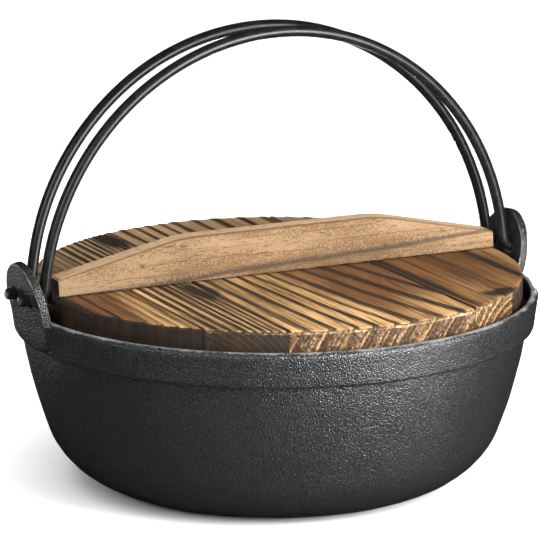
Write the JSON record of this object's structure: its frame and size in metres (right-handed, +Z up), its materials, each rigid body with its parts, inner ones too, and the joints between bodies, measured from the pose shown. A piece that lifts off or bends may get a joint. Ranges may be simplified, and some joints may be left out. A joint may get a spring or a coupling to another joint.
{
  "type": "cast iron pot",
  "caption": "Round cast iron hotpot with a stepped rim band, a loose charred board lid under a sloped grip bar, and wire bails that fold down from upright ears.",
  "frame": {"origin": "centre of the flat base, on the surface that the pot stands on", "axes": "+Z up, X from ear to ear, -Y the front that the picture shows"},
  "size_m": [0.2778, 0.26, 0.2246],
  "materials": {
    "iron": "sand-cast, black, satin",
    "wire": "black oxide steel wire, satin",
    "board": "charred and brushed softwood",
    "bar": "rough-sawn softwood, lightly scorched",
    "peg": "bamboo"
  },
  "bodies": {
    "pot": {"pot_body": "iron"},
    "lid": {"lid_board_1": "board", "lid_board_2": "board", "lid_board_3": "board", "lid_board_4": "board", "lid_board_5": "board", "lid_peg_1": "peg", "lid_peg_2": "peg", "lid_peg_3": "peg", "lid_peg_4": "peg", "lid_peg_5": "peg", "lid_peg_6": "peg", "lid_peg_7": "peg", "lid_peg_8": "peg", "lid_bar": "bar"},
    "front_bail": {"front_bail": "wire"},
    "rear_bail": {"rear_bail": "wire"}
  },
  "joints": [
    {"name": "front_bail_swing", "type": "hinge", "parent": "pot", "child": "front_bail", "pos_m": [0, -0.0082, 0.1035], "axis": [1, 0, 0], "range_deg": [-3, 93.9]},
    {"name": "rear_bail_swing", "type": "hinge", "parent": "pot", "child": "rear_bail", "pos_m": [0, 0.0082, 0.1035], "axis": [-1, 0, 0], "range_deg": [-3, 89.4]},
    {"name": "lid_lift", "type": "slide", "parent": "pot", "child": "lid", "axis": [0, 0, 1], "range_m": [0, 0.01]}
  ]
}
